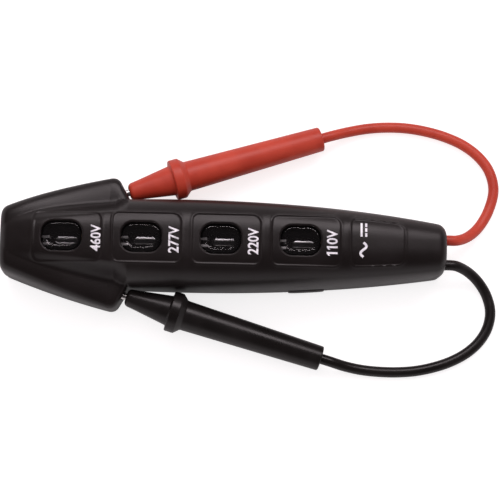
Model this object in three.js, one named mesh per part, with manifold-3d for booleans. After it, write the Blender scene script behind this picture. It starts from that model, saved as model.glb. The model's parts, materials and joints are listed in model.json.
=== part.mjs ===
// Four-range neon voltage tester: a two-shell case with four lamp windows, a circuit board,
// and two leads whose probes park in holes in the shoulders of the head.
// Millimetres. +X runs to the tail where the leads leave, +Y to the red lead's side, +Z to the front.
// The case lies on its back at z = 0, with the origin under the middle of its length.
import * as THREE from "three";
import { mergeVertices } from "three/addons/utils/BufferGeometryUtils.js";
import Module from "manifold-3d";

const wasm = await Module();
wasm.setup();

// ---- driving dimensions ----
const CLEAR = 0.3; // gap between pieces that seat on or pass through each other
const FACET = 0.3; // how far a faceted crown may lie under the true curve

const CASE_LENGTH = 130;
const FRONT = -CASE_LENGTH / 2; // places along the case are given from its two ends
const TAIL = CASE_LENGTH / 2;
const CASE_HEIGHT = 23; // at the crown of the body
const SEAM_Z = 8; // where the two shells part
const SEAM_STEP = 0.3; // the rear shell stands in from the front one by this much
const SEAM_LAND = 0.4; // upright strip along the seam
const WALL = 2;
const NOSE_HALF = 9.2; // half-width at the head's front
const HEAD_CURVE = [FRONT + 15, 15.4]; // control point of the head's side
const SHOULDER_HALF = 19.5; // half-width at the widest point of the head
const SHOULDER_X = FRONT + 31.4;
const SHOULDER_ROUND = [SHOULDER_X + 2.3, SHOULDER_HALF + 0.4]; // control point of its rounded corner
const SHOULDER_BACK = [SHOULDER_X + 3.2, SHOULDER_HALF - 1.6]; // where the slope to the neck starts
const NECK_HALF = 13; // half-width of the body just behind the head
const NECK_X = FRONT + 37.3;
const BODY_CURVE = [NECK_X + 0.536 * (TAIL - NECK_X), 14.5]; // control point of the body's side
const TAIL_HALF = 7.35;
const CROWN_POWER = 3; // squareness of the crown's section
const WING_POWER = 6;
const WING_HEIGHT = 14.5; // height of the head's wings at the shoulders
const HEAD_DROP = 4; // how far the crown falls to the head's front
const HEAD_DROP_X = FRONT + 20;
const TAIL_DROP = 4.5; // and to the tail's end
const TAIL_DROP_X = TAIL - 45;
const NOSE_CORNER = 1.6; // plan radius at the head's front corners
const TAIL_CORNER = 2.6;
const END_ROUND = 2.2; // rounding over the crown's two ends
const BACK_ROUND = 0.36; // share of the half-width that rounds up from the flat back
const BACK_POWER = 2.4;
const LUG = { x: TAIL - 40.5, length: 11, proud: 0.6, height: 4 }; // finger lugs on the rear shell

const WINDOW = { length: 11.8, width: 8.8, corner: 3.6 };
const FIRST_WINDOW_X = FRONT + 18.3;
const LAST_WINDOW_X = TAIL - 42.7;
const WINDOW_PITCH = (LAST_WINDOW_X - FIRST_WINDOW_X) / 3;
const WINDOW_X = [0, 1, 2, 3].map((i) => FIRST_WINDOW_X + i * WINDOW_PITCH);
const PANEL = { length: 19.8, width: 14.4, corner: 1.8, offset: 1.65, depth: 0.4 };
const LAST_PANEL = { x: TAIL - 20.4, length: 15.6, width: 13 };
const LENS = { rim: 1.1, rimThickness: 1, sunk: 1.4 };

const LAMP_RADIUS = 2.7;
const LAMP_GLASS = 0.5;
const LAMP_LENGTH = 10;
const LAMP_OFFSET = 0.9; // the lamp sits a little towards the tail in its window
const ELECTRODE_RADIUS = 0.4;
const ELECTRODE_PITCH = 2.1;

const BOARD = { x0: FRONT + 10, x1: TAIL - 14, side: 0.5, thickness: 1.2, z: 5.6 }; // side: gap to the wall
const BOARD_SCREW_X = [0, 2].map((i) => WINDOW_X[i] + WINDOW_PITCH / 2);
const BOARD_SCREW = { shank: 1.1, length: 4.6, head: 2.1, headHeight: 1.3, boss: 2.7 };
const RESISTOR = { radius: 1.3, length: 6.5, wire: 0.35, span: 10, offset: 7.5 };
const RESISTOR_X = [...WINDOW_X.map((x) => x + RESISTOR.offset), TAIL - 22];

const CASE_SCREW_X = [FRONT + 5.6, TAIL - 29.5];
const CASE_SCREW = { shank: 1.2, length: 11, head: 2.2, headHeight: 1.6, boss: 2.9, sink: 1.2 };

const CORD_RADIUS = 1.55;
const CORD_Y = 3.7;
const CORD_HOLE_REACH = 5; // the cord holes run this far in from the tail, through its inside corners
const STOP = { x: TAIL - 7.4, y: 3, wall: 0.65, length: 3.2 }; // crimped sleeve on each inner lead
const INNER_SOLDER_X = TAIL - 16.5;

const PROBE_NOSE = [NECK_X - 0.5, NECK_HALF + 2.6, 10.2]; // centre of the nose's front, on the red side
const PROBE_DROOP = 5; // degrees that the rear end hangs lower
const PROBES = { red: { side: 1, yaw: 18.5 }, black: { side: -1, yaw: 15.8 } };
const TIP_RADIUS = 1;
const TIP_OUT = 12; // bare metal beyond the nose
const TIP_IN = 20; // metal held inside the handle
const PARK_YAW = 17;
const PARK_RADIUS = 1.5;
const HANDLE_LENGTH = 59.8;
const FLANGE = { radius: 6, start: 13.3, length: 2.8, chamfer: 1.7 };
const HANDLE_FRONT = 4.45;
const HANDLE_REAR = 3.65;
const NOSE_BASE = 4.5;
const NOSE_FRONT = 2.2;
const CRIMP = { radius: 2.1, length: 9 };
const BORE_MOUTH = 2.2; // how far the free lead reaches into the handle

// Free leads, from the tail to the handles, chosen by hand: out, down to the bench, round and back.
const LEAD_ROUTES = {
  red: [
    [68.5, 3.8, 7.6], [72, 5.4, 5], [75.6, 8.8, 2.8], [78.8, 14.4, 1.75], [80.3, 20.8, 1.6],
    [79, 26.4, 1.6], [75.8, 30.8, 1.6], [71.2, 34.3, 1.6], [65.8, 36.7, 1.6], [60, 38.3, 1.6],
    [54, 39.2, 1.6], [48, 39.3, 1.65], [42.2, 38.7, 1.95], [36.4, 37.3, 2.9],
  ],
  black: [
    [68.5, -3.8, 7.6], [72.2, -5, 5], [75.6, -7.6, 2.8], [78.2, -11.6, 1.75], [79.3, -16.4, 1.6],
    [78.4, -21.2, 1.6], [75.9, -25.4, 1.6], [72.2, -28.8, 1.6], [67.6, -31.4, 1.6], [62.6, -33.2, 1.6],
    [57.3, -34.4, 1.6], [52, -34.9, 1.6], [46.6, -34.9, 1.65], [41.2, -34.5, 2.05], [36.4, -33.7, 3.1],
  ],
};

// ---- materials ----
const plastic = (color, roughness) => new THREE.MeshStandardMaterial({ color, roughness, metalness: 0 });
const metal = (color, roughness) => new THREE.MeshStandardMaterial({ color, roughness, metalness: 1 });
const MATERIAL = {
  case: plastic(0x2b2728, 0.5),
  lens: plastic(0x2a2a2c, 0.08),
  glass: plastic(0xd8d4cc, 0.05),
  nickel: metal(0xc9c8c4, 0.3),
  board: plastic(0x8a6a35, 0.6),
  resistor: plastic(0xcdb48c, 0.6),
  steel: metal(0x9a9a9c, 0.35),
  brass: metal(0xc8a860, 0.3),
  red: plastic(0xc8432f, 0.4),
  black: plastic(0x1b1a1b, 0.35),
};

// ---- solids ----
// Joins vertices closer than `tolerance` and drops the triangles that this flattens.
function welded(geometry, tolerance) {
  const bare = geometry.index ? geometry.toNonIndexed() : geometry.clone();
  for (const name of Object.keys(bare.attributes)) {
    if (name !== "position") bare.deleteAttribute(name);
  }
  const merged = mergeVertices(bare, tolerance);
  const source = merged.index.array;
  const kept = [];
  for (let i = 0; i < source.length; i += 3) {
    const [a, b, c] = [source[i], source[i + 1], source[i + 2]];
    if (a !== b && b !== c && c !== a) kept.push(a, b, c);
  }
  merged.setIndex(kept);
  return merged;
}

function solid(geometry) {
  const merged = welded(geometry, 1e-4);
  const vertProperties = new Float32Array(merged.attributes.position.array);
  const triVerts = new Uint32Array(merged.index.array);
  return new wasm.Manifold(new wasm.Mesh({ numProp: 3, vertProperties, triVerts }));
}

function geometryOf(body) {
  const { vertProperties, triVerts } = body.getMesh();
  const geometry = new THREE.BufferGeometry();
  geometry.setAttribute("position", new THREE.BufferAttribute(new Float32Array(vertProperties), 3));
  geometry.setIndex([...triVerts]);
  const clean = welded(geometry, 2e-3);
  clean.computeVertexNormals();
  return clean;
}

const tester = new THREE.Group();

function addPiece(name, body, material) {
  const mesh = new THREE.Mesh(geometryOf(body), material);
  mesh.name = name;
  tester.add(mesh);
  return mesh;
}

function rod(radius, z0, z1, x, y, sides = 16) {
  const geometry = new THREE.CylinderGeometry(radius, radius, z1 - z0, sides);
  return solid(geometry.rotateX(Math.PI / 2).translate(x, y, (z0 + z1) / 2));
}

function block(x0, x1, y0, y1, z0, z1) {
  const geometry = new THREE.BoxGeometry(x1 - x0, y1 - y0, z1 - z0);
  return solid(geometry.translate((x0 + x1) / 2, (y0 + y1) / 2, (z0 + z1) / 2));
}

function roundedPrism(x, length, width, corner, z0, z1) {
  const [a, b] = [length / 2, width / 2];
  const outline = new THREE.Shape();
  const quarter = Math.PI / 2;
  outline.absarc(a - corner, -b + corner, corner, -quarter, 0);
  outline.absarc(a - corner, b - corner, corner, 0, quarter);
  outline.absarc(-a + corner, b - corner, corner, quarter, 2 * quarter);
  outline.absarc(-a + corner, -b + corner, corner, 2 * quarter, 3 * quarter);
  const options = { depth: z1 - z0, bevelEnabled: false, curveSegments: 4 };
  const geometry = new THREE.ExtrudeGeometry(outline, options);
  return solid(geometry.translate(x, 0, z0));
}

// A solid of revolution round +Y, from pairs of radius and height.
function turned(profile, sides) {
  return new THREE.LatheGeometry(profile.map(([r, s]) => new THREE.Vector2(r, s)), sides);
}

class Route extends THREE.Curve {
  constructor(points) {
    super();
    const corners = points.map((p) => new THREE.Vector3(...p));
    this.spline = new THREE.CatmullRomCurve3(corners, false, "centripetal");
  }
  getPoint(t, target) {
    return this.spline.getPointAt(t, target);
  }
}

function tube(points, radius, steps, sides = 8) {
  const corners = Array.from({ length: sides }, (_, i) => {
    const angle = (2 * Math.PI * i) / sides;
    return new THREE.Vector2(radius * Math.cos(angle), radius * Math.sin(angle));
  });
  const section = new THREE.Shape(corners);
  const options = { steps, extrudePath: new Route(points), bevelEnabled: false };
  return solid(new THREE.ExtrudeGeometry(section, options));
}

// ---- the case's surfaces ----
function bezierAt([x0, y0], [x1, y1], [x2, y2], x) {
  const [a, b, c] = [x0 - 2 * x1 + x2, 2 * (x1 - x0), x0 - x];
  const t = Math.abs(a) < 1e-9 ? -c / b : (-b + Math.sqrt(b * b - 4 * a * c)) / (2 * a);
  return (1 - t) * (1 - t) * y0 + 2 * t * (1 - t) * y1 + t * t * y2;
}

const rounding = (distance, radius) =>
  distance < radius ? radius - Math.sqrt(Math.max(0, radius ** 2 - (radius - distance) ** 2)) : 0;

function bodyHalfWidth(x) {
  if (x > NECK_X) return bezierAt([NECK_X, NECK_HALF], BODY_CURVE, [TAIL, TAIL_HALF], x);
  const crownNose = NOSE_HALF - 0.4;
  return NECK_HALF + ((NECK_X - x) / (NECK_X - FRONT)) * (crownNose - NECK_HALF);
}

function outlineHalfWidth(x) {
  const shoulder = [SHOULDER_X, SHOULDER_HALF];
  const [x0, y0] = SHOULDER_BACK;
  if (x <= SHOULDER_X) return bezierAt([FRONT, NOSE_HALF], HEAD_CURVE, shoulder, x);
  if (x <= x0) return bezierAt(shoulder, SHOULDER_ROUND, SHOULDER_BACK, x);
  if (x <= NECK_X) return y0 + ((x - x0) / (NECK_X - x0)) * (NECK_HALF - y0);
  return bodyHalfWidth(x);
}

// A surface `inset` inside the outer one, for walls of an even thickness.
function halfWidth(x, inset = 0) {
  const corner = rounding(x - FRONT - inset, NOSE_CORNER) + rounding(TAIL - inset - x, TAIL_CORNER);
  return outlineHalfWidth(x) - corner - inset;
}

function crownHeight(x, inset = 0) {
  const head = Math.max(0, (HEAD_DROP_X - x) / (HEAD_DROP_X - FRONT));
  const tail = Math.max(0, (x - TAIL_DROP_X) / (TAIL - TAIL_DROP_X));
  const ends = rounding(x - FRONT - inset, END_ROUND) + rounding(TAIL - inset - x, END_ROUND);
  return CASE_HEIGHT - HEAD_DROP * head ** 2 - TAIL_DROP * tail ** 2 - ends - inset;
}

const bulge = (share, power) => (share < 1 ? (1 - share ** power) ** (1 / power) : 0);

function topHeight(x, y, inset = 0) {
  const foot = SEAM_Z + SEAM_LAND;
  const width = halfWidth(x, inset);
  const crown = crownHeight(x, inset);
  const crownHalf = Math.min(width, bodyHalfWidth(x) - inset);
  const body = foot + (crown - foot) * bulge(Math.abs(y) / crownHalf, CROWN_POWER);
  if (x > NECK_X) return body;
  const spread = Math.min(1, (x - FRONT) / (SHOULDER_X - FRONT));
  const wingTop = Math.min(crown, THREE.MathUtils.lerp(crown, WING_HEIGHT - inset, spread));
  const wing = foot + (wingTop - foot) * bulge(Math.abs(y) / width, WING_POWER);
  return Math.max(body, wing);
}

function backHeight(x, y, inset = 0) {
  const width = halfWidth(x, inset + SEAM_STEP);
  const flat = width * (1 - BACK_ROUND);
  const height = SEAM_Z - CLEAR - SEAM_LAND - inset;
  const share = Math.max(0, (Math.abs(y) - flat) / (width - flat));
  return inset + height * (1 - bulge(share, BACK_POWER));
}

// A closed solid between two surfaces over the stations xs, with `across` steps from side to side.
function loft(xs, half, lower, upper, across) {
  const positions = [];
  const angles = Array.from({ length: across + 1 }, (_, j) => (Math.PI / 2) * ((2 * j) / across - 1));
  const shares = angles.map(Math.sin);
  const rings = xs.map((x) => {
    const over = shares.map((share) => [x, share * half(x), upper(x, share * half(x))]);
    const under = shares.map((share) => [x, share * half(x), lower(x, share * half(x))]);
    return [...over, ...under.reverse()];
  });
  const push = (...corners) => corners.forEach((p) => positions.push(...p));
  const size = rings[0].length;
  for (let i = 0; i + 1 < rings.length; i++) {
    for (let j = 0; j < size; j++) {
      const k = (j + 1) % size;
      const [a, b, c, d] = [rings[i][j], rings[i + 1][j], rings[i + 1][k], rings[i][k]];
      push(a, b, c, a, c, d);
    }
  }
  for (const [ring, flip] of [[rings[0], false], [rings[rings.length - 1], true]]) {
    for (let j = 0; j + 1 < size / 2; j++) {
      const [a, b, c, d] = [ring[j], ring[j + 1], ring[size - 2 - j], ring[size - 1 - j]];
      if (flip) push(a, c, b, a, d, c);
      else push(a, b, c, a, c, d);
    }
  }
  const geometry = new THREE.BufferGeometry();
  geometry.setAttribute("position", new THREE.Float32BufferAttribute(positions, 3));
  return solid(geometry);
}

// Where the case's sections are taken: close together at the ends and round the shoulders.
function stations(inset) {
  const [front, tail] = [FRONT + inset, TAIL - inset];
  const near = [0, 0.35, 1.1, 2.6];
  const head = [8, 14, 20, 26].map((d) => FRONT + d);
  const shoulder = [SHOULDER_X, (SHOULDER_X + SHOULDER_BACK[0]) / 2, SHOULDER_BACK[0], NECK_X];
  const count = Math.round((TAIL - NECK_X) / 8);
  const step = (TAIL - NECK_X) / count;
  const body = Array.from({ length: count - 1 }, (_, i) => NECK_X + (i + 1) * step);
  const ends = [near.map((d) => front + d), near.map((d) => tail - d).reverse()];
  return [...ends[0], ...head, ...shoulder, ...body, ...ends[1]];
}

function caseFrontBlank() {
  const outer = loft(stations(0), (x) => halfWidth(x), () => SEAM_Z, topHeight, 14);
  const insideTop = (x, y) => topHeight(x, y, WALL);
  const inner = loft(stations(WALL), (x) => halfWidth(x, WALL), () => SEAM_Z - 1, insideTop, 12);
  return outer.subtract(inner);
}

function panelCutter(x, length, width) {
  const xs = [0, 0.33, 0.67, 1].map((t) => x + (t - 0.5) * length);
  const floor = (px, py) => topHeight(px, py) - PANEL.depth;
  const skin = loft(xs, () => width / 2, floor, () => CASE_HEIGHT + 2, 6);
  return skin.intersect(roundedPrism(x, length, width, PANEL.corner, SEAM_Z, CASE_HEIGHT + 3));
}

// Which way a parked probe points: along its axis from the nose to the rear.
function probeAxis(side, yaw, droop = PROBE_DROOP) {
  const [a, d] = [THREE.MathUtils.degToRad(yaw), THREE.MathUtils.degToRad(droop)];
  return new THREE.Vector3(Math.cos(a) * Math.cos(d), side * Math.sin(a) * Math.cos(d), -Math.sin(d));
}

function alongAxis(geometry, origin, axis) {
  const turn = new THREE.Quaternion().setFromUnitVectors(new THREE.Vector3(0, 1, 0), axis);
  return geometry.applyQuaternion(turn).translate(origin.x, origin.y, origin.z);
}

const noseOf = (side) => new THREE.Vector3(PROBE_NOSE[0], side * PROBE_NOSE[1], PROBE_NOSE[2]);

function parkingHole(side) {
  const reach = 8;
  const geometry = new THREE.CylinderGeometry(PARK_RADIUS, PARK_RADIUS, 2 * reach, 14);
  return solid(alongAxis(geometry, noseOf(side), probeAxis(side, PARK_YAW)));
}

function cordHole(side) {
  const radius = CORD_RADIUS + CLEAR;
  const geometry = new THREE.CylinderGeometry(radius, radius, 2 * CORD_HOLE_REACH, 16).rotateZ(Math.PI / 2);
  return solid(geometry.translate(TAIL, side * CORD_Y, SEAM_Z));
}

const bossTop = (x) => crownHeight(x, WALL) + 0.5;

function frontShell() {
  let shell = caseFrontBlank();
  const boss = CASE_SCREW.boss;
  for (const x of CASE_SCREW_X) {
    shell = shell.add(rod(boss, SEAM_Z - CLEAR, bossTop(x), x, 0));
    const pilotTop = CASE_SCREW.sink + CASE_SCREW.headHeight + CASE_SCREW.length + 1;
    shell = shell.subtract(rod(CASE_SCREW.shank + CLEAR, SEAM_Z - 2, pilotTop, x, 0, 12));
  }
  for (const x of WINDOW_X) {
    shell = shell.subtract(panelCutter(x + PANEL.offset, PANEL.length, PANEL.width));
    const { length, width, corner } = WINDOW;
    shell = shell.subtract(roundedPrism(x, length, width, corner, SEAM_Z + 2, CASE_HEIGHT + 1));
  }
  shell = shell.subtract(panelCutter(LAST_PANEL.x, LAST_PANEL.length, LAST_PANEL.width));
  for (const side of [1, -1]) shell = shell.subtract(parkingHole(side)).subtract(cordHole(side));
  return shell;
}

function rearShell() {
  const rim = SEAM_Z - CLEAR;
  const half = (inset) => (x) => halfWidth(x, inset + SEAM_STEP);
  const outer = loft(stations(SEAM_STEP), half(0), backHeight, () => rim, 12);
  const innerXs = stations(SEAM_STEP + WALL);
  const inner = loft(innerXs, half(WALL), (x, y) => backHeight(x, y, WALL), () => rim + 1, 8);
  let shell = outer.subtract(inner);
  for (const side of [1, -1]) {
    const edge = side * (halfWidth(LUG.x) - SEAM_STEP + LUG.proud);
    const [low, high] = [Math.min(edge, edge - 2 * side), Math.max(edge, edge - 2 * side)];
    const [x0, x1] = [LUG.x - LUG.length / 2, LUG.x + LUG.length / 2];
    const lug = block(x0, x1, low, high, rim - LUG.height, rim - SEAM_LAND);
    shell = shell.add(lug);
  }
  for (const x of BOARD_SCREW_X) {
    shell = shell.add(rod(BOARD_SCREW.boss, WALL / 2, BOARD.z - CLEAR, x, 0));
    shell = shell.subtract(rod(BOARD_SCREW.shank + CLEAR, WALL / 2, BOARD.z, x, 0, 12));
  }
  for (const x of CASE_SCREW_X) {
    const seat = CASE_SCREW.sink + CASE_SCREW.headHeight + CLEAR;
    shell = shell.add(rod(CASE_SCREW.boss, WALL / 2, rim - CLEAR, x, 0));
    shell = shell.subtract(rod(CASE_SCREW.shank + CLEAR, 0, rim + 1, x, 0, 12));
    shell = shell.subtract(rod(CASE_SCREW.head + CLEAR, -1, seat, x, 0, 16));
  }
  for (const side of [1, -1]) shell = shell.subtract(parkingHole(side)).subtract(cordHole(side));
  return shell;
}

// ---- windows and lamps ----
// The lowest point of the front shell's inside over a lens's rim.
function lensSeat(x) {
  const [a, b] = [WINDOW.length / 2 + LENS.rim, WINDOW.width / 2 + LENS.rim];
  const corners = [[x - a, b], [x + a, b], [x - a, 0], [x + a, 0]];
  return Math.min(...corners.map(([px, py]) => topHeight(px, py, WALL))) - CLEAR - FACET;
}

function windowLens(x) {
  const seat = lensSeat(x);
  const rim = LENS.rim;
  const { length, width, corner } = WINDOW;
  const flange = roundedPrism(x, length + 2 * rim, width + 2 * rim, corner, seat - LENS.rimThickness, seat);
  const top = crownHeight(x) - LENS.sunk;
  const pane = roundedPrism(x, length - 2 * CLEAR, width - 2 * CLEAR, corner - CLEAR, seat - 0.5, top);
  return flange.add(pane);
}

const lampZ = (x) => lensSeat(x) - LENS.rimThickness - CLEAR - LAMP_RADIUS;

function lampGlass(x) {
  const [outer, inner] = [LAMP_RADIUS, LAMP_RADIUS - LAMP_GLASS];
  const domeAt = LAMP_LENGTH - outer;
  const angles = [0, 1, 2, 3].map((i) => (Math.PI / 8) * i);
  const dome = (radius) => [
    ...angles.map((a) => [radius * Math.cos(a), domeAt + radius * Math.sin(a)]),
    [0, domeAt + radius],
  ];
  const profile = [[inner, 0], [outer, 0], ...dome(outer), ...dome(inner).reverse(), [inner, 0]];
  const geometry = turned(profile, 14);
  const start = new THREE.Vector3(x + LAMP_OFFSET - LAMP_LENGTH / 2, 0, lampZ(x));
  return solid(alongAxis(geometry, start, new THREE.Vector3(1, 0, 0)));
}

const leadX = (x) => x + LAMP_OFFSET - LAMP_LENGTH / 2 - 1.8;
const leadFoot = BOARD.z - 1;

function electrode(x, side) {
  const y = (side * ELECTRODE_PITCH) / 2;
  const z = lampZ(x);
  const end = x + LAMP_OFFSET + LAMP_LENGTH / 2 - LAMP_RADIUS;
  const bend = 0.5;
  const wire = leadX(x);
  const points = [[wire, y, leadFoot], [wire, y, z - bend], [wire + bend, y, z], [end, y, z]];
  return tube(points, ELECTRODE_RADIUS, 12, 6);
}

// ---- board ----
const boardHalf = halfWidth(BOARD.x1, WALL + SEAM_STEP) - BOARD.side;

function circuitBoard() {
  const { x0, x1, thickness, z } = BOARD;
  let board = block(x0, x1, -boardHalf, boardHalf, z, z + thickness);
  const drill = (x, y, radius) => {
    board = board.subtract(rod(radius + CLEAR, z - 1, z + thickness + 1, x, y, 8));
  };
  for (const side of [0.5, -0.5]) {
    for (const x of WINDOW_X) drill(leadX(x), side * ELECTRODE_PITCH, ELECTRODE_RADIUS);
    for (const x of RESISTOR_X) drill(x, side * RESISTOR.span, RESISTOR.wire);
  }
  for (const x of BOARD_SCREW_X) drill(x, 0, BOARD_SCREW.shank);
  drill(CASE_SCREW_X[1], 0, CASE_SCREW.boss);
  return board;
}

const boardTop = BOARD.z + BOARD.thickness;

// A pan-head screw with a cross recess, its head's underside at z = 0.
function screw({ shank, length, head, headHeight }) {
  let body = rod(shank, -length, 0.2, 0, 0, 10).add(rod(head, 0, headHeight, 0, 0, 16));
  const slot = 0.3 * head;
  const [arm, depth] = [0.7 * head, 0.5 * headHeight];
  for (const [a, b] of [[arm, slot / 2], [slot / 2, arm]]) {
    body = body.subtract(block(-a, a, -b, b, headHeight - depth, headHeight + 1));
  }
  return body;
}

function addBoardScrew(name, x) {
  addPiece(name, screw(BOARD_SCREW), MATERIAL.steel).position.set(x, 0, boardTop + CLEAR);
}

// A case screw goes in from the back, head down.
function addCaseScrew(name, x) {
  const mesh = addPiece(name, screw(CASE_SCREW), MATERIAL.steel);
  mesh.rotation.x = Math.PI;
  mesh.position.set(x, 0, CASE_SCREW.sink + CASE_SCREW.headHeight);
}

// A round body with a thicker cap at each end, on a wire bent down into the board.
function resistor(x) {
  const { radius, length, wire, span } = RESISTOR;
  const z = boardTop + radius + CLEAR;
  const waist = 0.88 * radius;
  const half = [[radius, 0.44], [radius, 0.3], [waist, 0.22]].map(([r, share]) => [r, share * length]);
  const mirrored = half.map(([r, s]) => [r, -s]);
  const end = length / 2;
  const profile = [[0, -end], [waist, -end], ...mirrored, ...half.reverse(), [waist, end], [0, end]];
  const body = solid(turned(profile, 10).translate(x, 0, z));
  const bend = 0.5;
  const [y, foot] = [span / 2, BOARD.z - 0.8];
  const rise = [[x, -y, foot], [x, -y, z - bend], [x, -y + bend, z]];
  const fall = [[x, y - bend, z], [x, y, z - bend], [x, y, foot]];
  return body.add(tube([...rise, ...fall], wire, 18, 5));
}

// ---- leads ----
const leadStart = TAIL + CLEAR;

function innerLead(side) {
  const y = side * STOP.y;
  const end = boardTop + CORD_RADIUS + CLEAR;
  const outside = [[TAIL, side * CORD_Y, SEAM_Z], [TAIL - 2.6, side * CORD_Y, SEAM_Z]];
  const sleeved = [[STOP.x + 1.4, y, SEAM_Z], [STOP.x - STOP.length - 0.6, y, SEAM_Z]];
  const soldered = [[BOARD.x1 + 0.5, y, end], [INNER_SOLDER_X, y, end]];
  return tube([...outside, ...sleeved, ...soldered], CORD_RADIUS, 16);
}

function leadStop(side) {
  const inner = CORD_RADIUS + CLEAR;
  const outer = inner + STOP.wall;
  const { length } = STOP;
  const ring = turned([[inner, 0], [outer, 0], [outer, length], [inner, length], [inner, 0]], 16);
  return solid(ring.rotateZ(Math.PI / 2).translate(STOP.x, side * STOP.y, SEAM_Z));
}

function probePoint(name, s) {
  const { side, yaw } = PROBES[name];
  return noseOf(side).addScaledVector(probeAxis(side, yaw), s).toArray();
}

function freeLead(name) {
  const { side } = PROBES[name];
  const start = [[leadStart, side * CORD_Y, SEAM_Z], [leadStart + 1.5, side * CORD_Y, SEAM_Z]];
  const lastStretch = [HANDLE_LENGTH + 3, HANDLE_LENGTH, HANDLE_LENGTH - BORE_MOUTH];
  const end = lastStretch.map((s) => probePoint(name, s));
  return tube([...start, ...LEAD_ROUTES[name], ...end], CORD_RADIUS, 24);
}

// ---- probes: s runs along the axis from the nose's front ----
function place(geometry, name) {
  const { side, yaw } = PROBES[name];
  return solid(alongAxis(geometry, noseOf(side), probeAxis(side, yaw)));
}

function handle(name) {
  const { radius, start, length, chamfer } = FLANGE;
  const tipBore = TIP_RADIUS + CLEAR;
  const cordBore = CORD_RADIUS + 2 * CLEAR;
  const crimpBore = CRIMP.radius + CLEAR;
  const crimpStart = TIP_IN + CLEAR - 0.5;
  const crimpEnd = crimpStart + CRIMP.length + 1.5;
  const outside = [
    [NOSE_FRONT * 0.8, 0], [NOSE_FRONT, 0.5], [NOSE_FRONT + 0.4, 1.6], [NOSE_BASE, start],
    [radius - 0.3, start], [radius, start + 0.3], [radius, start + length],
    [HANDLE_FRONT, start + length + chamfer], [HANDLE_REAR, HANDLE_LENGTH - 0.4],
    [HANDLE_REAR - 0.4, HANDLE_LENGTH],
  ];
  const inside = [
    [cordBore, HANDLE_LENGTH], [cordBore, crimpEnd], [crimpBore, crimpEnd], [crimpBore, crimpStart],
    [tipBore, crimpStart], [tipBore, 0],
  ];
  const profile = [...outside, ...inside, outside[0]];
  return place(turned(profile, 20), name);
}

function tip(name) {
  const point = [[0, -TIP_OUT], [0.35, -TIP_OUT + 0.1], [TIP_RADIUS, -TIP_OUT + 1.2]];
  return place(turned([...point, [TIP_RADIUS, TIP_IN], [0, TIP_IN]], 14), name);
}

function crimp(name) {
  const { radius, length } = CRIMP;
  const [start, end] = [TIP_IN + CLEAR, TIP_IN + CLEAR + length];
  return place(turned([[0, start], [radius, start], [radius, end], [0, end]], 14), name);
}

function handleLead(name) {
  const start = TIP_IN + 2 * CLEAR + CRIMP.length;
  const end = HANDLE_LENGTH - BORE_MOUTH - CLEAR;
  return place(turned([[0, start], [CORD_RADIUS, start], [CORD_RADIUS, end], [0, end]], 10), name);
}

// ---- assembly ----
addPiece("front_shell", frontShell(), MATERIAL.case);
addPiece("rear_shell", rearShell(), MATERIAL.case);
WINDOW_X.forEach((x, i) => {
  addPiece(`window_lens_${i + 1}`, windowLens(x), MATERIAL.lens);
  addPiece(`neon_lamp_${i + 1}`, lampGlass(x), MATERIAL.glass);
  addPiece(`electrode_${i + 1}_a`, electrode(x, 1), MATERIAL.nickel);
  addPiece(`electrode_${i + 1}_b`, electrode(x, -1), MATERIAL.nickel);
});
addPiece("circuit_board", circuitBoard(), MATERIAL.board);
BOARD_SCREW_X.forEach((x, i) => addBoardScrew(`board_screw_${i + 1}`, x));
RESISTOR_X.forEach((x, i) => addPiece(`resistor_${i + 1}`, resistor(x), MATERIAL.resistor));
CASE_SCREW_X.forEach((x, i) => addCaseScrew(`case_screw_${i + 1}`, x));
for (const name of Object.keys(PROBES)) {
  const { side } = PROBES[name];
  addPiece(`${name}_lead`, freeLead(name), MATERIAL[name]);
  addPiece(`${name}_inner_lead`, innerLead(side), MATERIAL[name]);
  addPiece(`${name}_lead_stop`, leadStop(side), MATERIAL.brass);
  addPiece(`${name}_probe_handle`, handle(name), MATERIAL[name]);
  addPiece(`${name}_probe_tip`, tip(name), MATERIAL.nickel);
  addPiece(`${name}_probe_crimp`, crimp(name), MATERIAL.brass);
  addPiece(`${name}_handle_lead`, handleLead(name), MATERIAL[name]);
}

export default tester;
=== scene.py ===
"""A four-range neon voltage tester on its back, its two probes parked in the shoulders of its head.
Shapes are worked out in millimetres, and put_mesh() turns them into metres."""
import json
import math

import bmesh
import bpy
import numpy as np
from mathutils import Matrix, Vector


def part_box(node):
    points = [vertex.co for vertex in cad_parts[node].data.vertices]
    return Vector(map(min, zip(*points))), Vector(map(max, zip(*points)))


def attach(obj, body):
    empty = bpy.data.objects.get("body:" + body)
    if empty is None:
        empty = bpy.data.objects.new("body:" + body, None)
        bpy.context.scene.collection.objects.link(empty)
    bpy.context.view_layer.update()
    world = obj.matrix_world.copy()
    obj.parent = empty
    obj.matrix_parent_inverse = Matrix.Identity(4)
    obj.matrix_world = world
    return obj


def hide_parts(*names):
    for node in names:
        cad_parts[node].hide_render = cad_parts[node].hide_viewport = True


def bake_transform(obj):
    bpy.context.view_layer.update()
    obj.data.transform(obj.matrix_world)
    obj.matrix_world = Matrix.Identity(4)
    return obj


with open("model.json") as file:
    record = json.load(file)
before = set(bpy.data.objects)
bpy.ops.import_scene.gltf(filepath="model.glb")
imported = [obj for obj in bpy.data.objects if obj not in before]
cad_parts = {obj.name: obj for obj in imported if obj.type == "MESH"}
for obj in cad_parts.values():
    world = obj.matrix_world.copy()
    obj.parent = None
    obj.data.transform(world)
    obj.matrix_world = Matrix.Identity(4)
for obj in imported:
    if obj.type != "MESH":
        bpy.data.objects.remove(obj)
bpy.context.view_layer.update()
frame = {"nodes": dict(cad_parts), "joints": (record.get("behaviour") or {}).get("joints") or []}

MM = 0.001

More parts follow.
